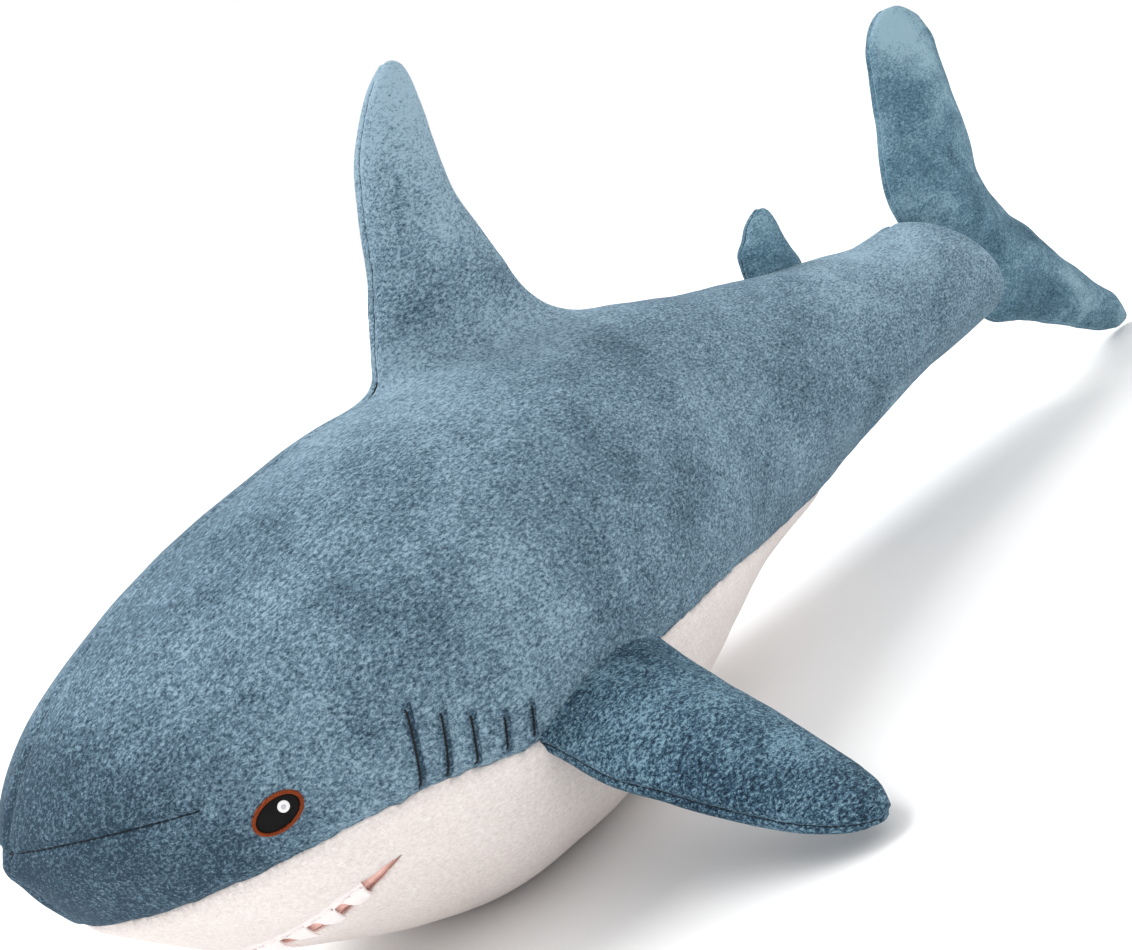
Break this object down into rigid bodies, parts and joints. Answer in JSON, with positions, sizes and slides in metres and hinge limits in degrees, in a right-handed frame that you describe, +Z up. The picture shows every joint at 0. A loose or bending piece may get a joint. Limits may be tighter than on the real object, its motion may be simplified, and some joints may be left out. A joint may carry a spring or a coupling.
{
  "type": "plush shark",
  "caption": "Long stuffed plush shark with a blue back, a white belly, a felt-toothed mouth, embroidered eyes and soft fins that flex at their seams; it lies on its belly.",
  "frame": {"origin": "on the surface it rests on, under the middle of its length and width", "axes": "+X towards the tail (the nose points along -X), +Y across the body towards the shark's right side, +Z up"},
  "size_m": [0.9992, 0.4872, 0.4079],
  "materials": {
    "blue_plush": "matte",
    "fin_plush": "matte",
    "white_plush": "matte",
    "pink_fabric": "matte",
    "white_felt": "matte",
    "black_embroidery": "matte",
    "brown_embroidery": "matte",
    "white_embroidery": "matte",
    "black_thread": "matte",
    "blue_thread": "matte",
    "fibre_fill": "matte"
  },
  "bodies": {
    "torso": {"back_panel_left": "blue_plush", "back_panel_right": "blue_plush", "belly_panel": "white_plush", "mouth_lining": "pink_fabric", "upper_teeth": "white_felt", "left_eye_pupil": "black_embroidery", "left_eye_ring": "brown_embroidery", "left_eye_glint": "white_embroidery", "right_eye_pupil": "black_embroidery", "right_eye_ring": "brown_embroidery", "right_eye_glint": "white_embroidery", "left_gill_stitches": "black_thread", "right_gill_stitches": "black_thread", "back_seam_thread": "blue_thread", "under_tail_seam_thread": "blue_thread", "side_seam_thread": "blue_thread", "snout_dart_threads": "blue_thread", "closing_stitches": "blue_thread", "body_stuffing": "fibre_fill"},
    "dorsal_fin": {"dorsal_fin_left_panel": "fin_plush", "dorsal_fin_right_panel": "fin_plush", "dorsal_fin_seam_thread": "blue_thread", "dorsal_fin_stuffing": "fibre_fill"},
    "rear_fin": {"rear_fin_left_panel": "fin_plush", "rear_fin_right_panel": "fin_plush", "rear_fin_seam_thread": "blue_thread", "rear_fin_stuffing": "fibre_fill"},
    "tail_fin": {"tail_fin_left_panel": "fin_plush", "tail_fin_right_panel": "fin_plush", "tail_fin_seam_thread": "blue_thread", "tail_fin_stuffing": "fibre_fill"},
    "left_fin": {"left_fin_lower_panel": "fin_plush", "left_fin_upper_panel": "fin_plush", "left_fin_seam_thread": "blue_thread", "left_fin_stuffing": "fibre_fill"},
    "right_fin": {"right_fin_lower_panel": "fin_plush", "right_fin_upper_panel": "fin_plush", "right_fin_seam_thread": "blue_thread", "right_fin_stuffing": "fibre_fill"}
  },
  "joints": [
    {"name": "left_fin_lift", "type": "hinge", "parent": "torso", "child": "left_fin", "pos_m": [-0.2575, -0.1215, 0.085], "axis": [-0.9915, -0.1276, 0.0236], "range_deg": [-3, 38], "stiffness_Nm_per_rad": 1.2},
    {"name": "right_fin_lift", "type": "hinge", "parent": "torso", "child": "right_fin", "pos_m": [-0.2575, 0.1215, 0.085], "axis": [0.9915, -0.1276, -0.0236], "range_deg": [-3, 38], "stiffness_Nm_per_rad": 1.2},
    {"name": "dorsal_fin_flop", "type": "hinge", "parent": "torso", "child": "dorsal_fin", "pos_m": [-0.1425, 0, 0.24525], "axis": [0.9958, 0, -0.092], "range_deg": [-25, 25], "stiffness_Nm_per_rad": 1.2},
    {"name": "rear_fin_flop", "type": "hinge", "parent": "torso", "child": "rear_fin", "pos_m": [0.112, 0, 0.19675], "axis": [0.985, 0, -0.1724], "range_deg": [-20, 20], "stiffness_Nm_per_rad": 0.2},
    {"name": "tail_fin_swing", "type": "hinge", "parent": "torso", "child": "tail_fin", "pos_m": [0.286, 0, 0.1355], "axis": [-0.4758, 0, 0.8796], "range_deg": [-30, 30], "stiffness_Nm_per_rad": 2}
  ]
}
